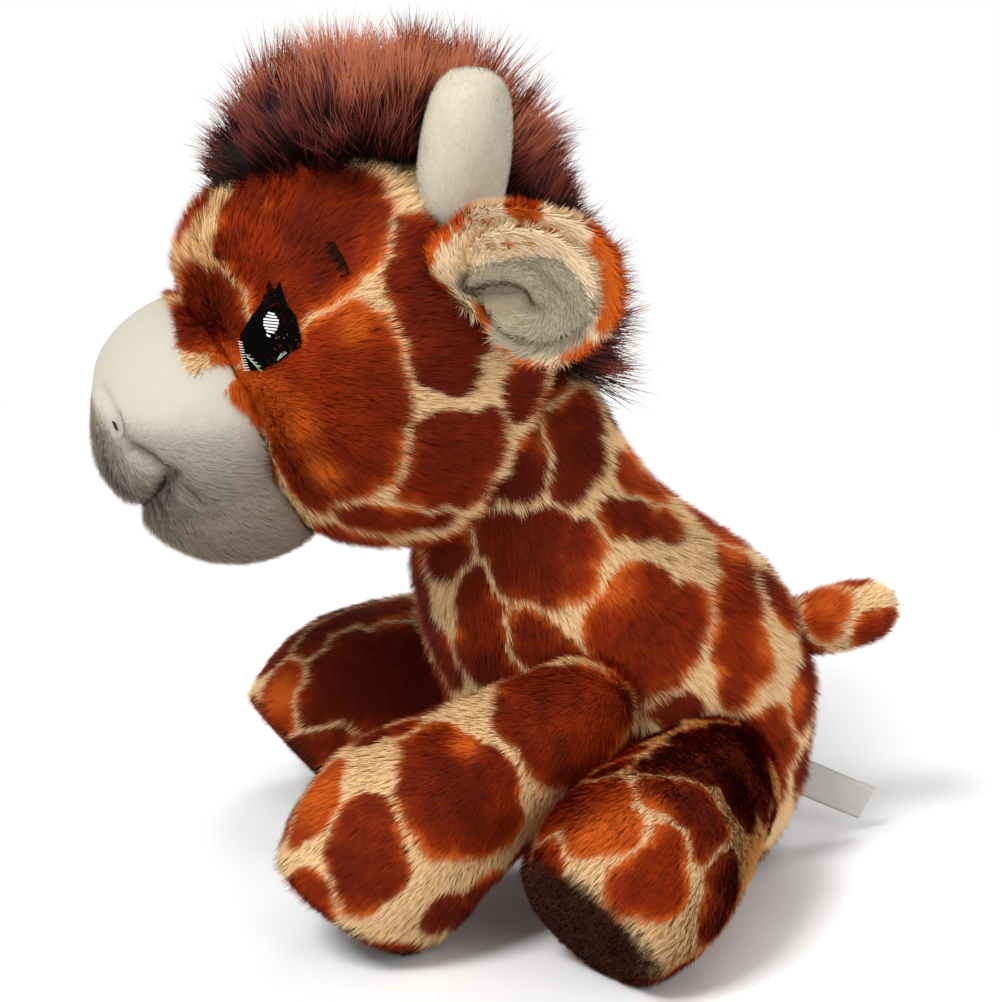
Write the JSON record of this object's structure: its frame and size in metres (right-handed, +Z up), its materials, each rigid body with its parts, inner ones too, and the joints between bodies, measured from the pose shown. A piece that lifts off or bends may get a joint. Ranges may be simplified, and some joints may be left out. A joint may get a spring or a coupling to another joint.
{
  "type": "plush giraffe",
  "caption": "Seated stuffed toy giraffe with a large soft head, cream muzzle, upright mane, horns, cupped ears, spread stuffed legs with sole pads and a stub tail.",
  "frame": {"origin": "middle of the seat in the plane of symmetry, on the surface that the giraffe sits on", "axes": "+Z up, -Y the way the nose points, +X the giraffe's own left side"},
  "size_m": [0.2664, 0.2668, 0.275],
  "materials": {
    "torso_skin": "patched brown and cream pile, matte",
    "torso_filling": "white stuffing, matte",
    "head_skin": "patched brown and cream pile, matte",
    "head_filling": "white stuffing, matte",
    "muzzle": "short cream pile, matte",
    "mane": "long red brown pile, matte",
    "horn_left": "short cream pile, matte",
    "horn_right": "short cream pile, matte",
    "ear_left": "brown and cream pile, matte",
    "ear_lining_left": "off-white pile, matte",
    "ear_right": "brown and cream pile, matte",
    "ear_lining_right": "off-white pile, matte",
    "eye_left": "black embroidery, satin thread",
    "eye_highlight_left": "white embroidery, satin thread",
    "brow_left": "dark embroidery, satin thread",
    "nostril_left": "grey embroidery, satin thread",
    "eye_right": "black embroidery, satin thread",
    "eye_highlight_right": "white embroidery, satin thread",
    "brow_right": "dark embroidery, satin thread",
    "nostril_right": "grey embroidery, satin thread",
    "mouth_stitch": "grey embroidery, satin thread",
    "front_leg_left_skin": "patched brown and cream pile, matte",
    "front_leg_left_filling": "white stuffing, matte",
    "front_sole_left": "short dark brown fleece, matte",
    "front_leg_right_skin": "patched brown and cream pile, matte",
    "front_leg_right_filling": "white stuffing, matte",
    "front_sole_right": "short dark brown fleece, matte",
    "hind_leg_left_skin": "patched brown and cream pile, matte",
    "hind_leg_left_filling": "white stuffing, matte",
    "hind_sole_left": "short dark brown fleece, matte",
    "hind_leg_right_skin": "patched brown and cream pile, matte",
    "hind_leg_right_filling": "white stuffing, matte",
    "hind_sole_right": "short dark brown fleece, matte",
    "tail": "cream and brown pile, matte",
    "seat_label": "white satin ribbon"
  },
  "bodies": {
    "torso": {"torso_skin": "torso_skin", "torso_filling": "torso_filling"},
    "head": {"head_skin": "head_skin", "head_filling": "head_filling", "muzzle": "muzzle", "mane": "mane", "mouth_stitch": "mouth_stitch", "eye_left": "eye_left", "eye_highlight_left": "eye_highlight_left", "brow_left": "brow_left", "nostril_left": "nostril_left", "eye_right": "eye_right", "eye_highlight_right": "eye_highlight_right", "brow_right": "brow_right", "nostril_right": "nostril_right"},
    "ear_left": {"ear_left": "ear_left", "ear_lining_left": "ear_lining_left"},
    "horn_left": {"horn_left": "horn_left"},
    "front_leg_left": {"front_leg_left_skin": "front_leg_left_skin", "front_leg_left_filling": "front_leg_left_filling", "front_sole_left": "front_sole_left"},
    "hind_leg_left": {"hind_leg_left_skin": "hind_leg_left_skin", "hind_leg_left_filling": "hind_leg_left_filling", "hind_sole_left": "hind_sole_left"},
    "ear_right": {"ear_right": "ear_right", "ear_lining_right": "ear_lining_right"},
    "horn_right": {"horn_right": "horn_right"},
    "front_leg_right": {"front_leg_right_skin": "front_leg_right_skin", "front_leg_right_filling": "front_leg_right_filling", "front_sole_right": "front_sole_right"},
    "hind_leg_right": {"hind_leg_right_skin": "hind_leg_right_skin", "hind_leg_right_filling": "hind_leg_right_filling", "hind_sole_right": "hind_sole_right"},
    "tail": {"tail": "tail"},
    "label": {"seat_label": "seat_label"}
  },
  "joints": [
    {"name": "head_turn", "type": "hinge", "parent": "torso", "child": "head", "pos_m": [0, -0.04303, 0.14608], "axis": [0, -0.3584, 0.9336], "range_deg": [-30, 30], "stiffness_Nm_per_rad": 0.6},
    {"name": "ear_left_flap", "type": "hinge", "parent": "head", "child": "ear_left", "pos_m": [0.04718, -0.07059, 0.21085], "axis": [0.1965, -0.2143, 0.9568], "range_deg": [-20, 20], "stiffness_Nm_per_rad": 0.06},
    {"name": "horn_left_nod", "type": "hinge", "parent": "head", "child": "horn_left", "pos_m": [0.02994, -0.06328, 0.22564], "axis": [1, 0, 0], "range_deg": [-10, 10], "stiffness_Nm_per_rad": 0.12},
    {"name": "front_leg_left_raise", "type": "hinge", "parent": "torso", "child": "front_leg_left", "pos_m": [0.04894, -0.02669, 0.0666], "axis": [-1, 0, 0], "range_deg": [0, 30], "stiffness_Nm_per_rad": 0.5},
    {"name": "hind_leg_left_splay", "type": "hinge", "parent": "torso", "child": "hind_leg_left", "pos_m": [0.05022, 0.01672, 0.04093], "axis": [0, 0, 1], "range_deg": [0, 20], "stiffness_Nm_per_rad": 0.5},
    {"name": "ear_right_flap", "type": "hinge", "parent": "head", "child": "ear_right", "pos_m": [-0.04718, -0.07059, 0.21085], "axis": [-0.1965, -0.2143, 0.9568], "range_deg": [-20, 20], "stiffness_Nm_per_rad": 0.06},
    {"name": "horn_right_nod", "type": "hinge", "parent": "head", "child": "horn_right", "pos_m": [-0.02994, -0.06328, 0.22564], "axis": [1, 0, 0], "range_deg": [-10, 10], "stiffness_Nm_per_rad": 0.12},
    {"name": "front_leg_right_raise", "type": "hinge", "parent": "torso", "child": "front_leg_right", "pos_m": [-0.04894, -0.02669, 0.0666], "axis": [-1, 0, 0], "range_deg": [0, 30], "stiffness_Nm_per_rad": 0.5},
    {"name": "hind_leg_right_splay", "type": "hinge", "parent": "torso", "child": "hind_leg_right", "pos_m": [-0.05022, 0.01672, 0.04093], "axis": [0, 0, -1], "range_deg": [0, 20], "stiffness_Nm_per_rad": 0.5},
    {"name": "tail_wag", "type": "hinge", "parent": "torso", "child": "tail", "pos_m": [0, 0.05603, 0.07553], "axis": [0, 0, 1], "range_deg": [-20, 20], "stiffness_Nm_per_rad": 0.06},
    {"name": "label_flop", "type": "hinge", "parent": "torso", "child": "label", "pos_m": [0, 0.05473, 0.02407], "axis": [0, 0.4307, 0.9025], "range_deg": [-15, 15], "stiffness_Nm_per_rad": 0.004}
  ]
}
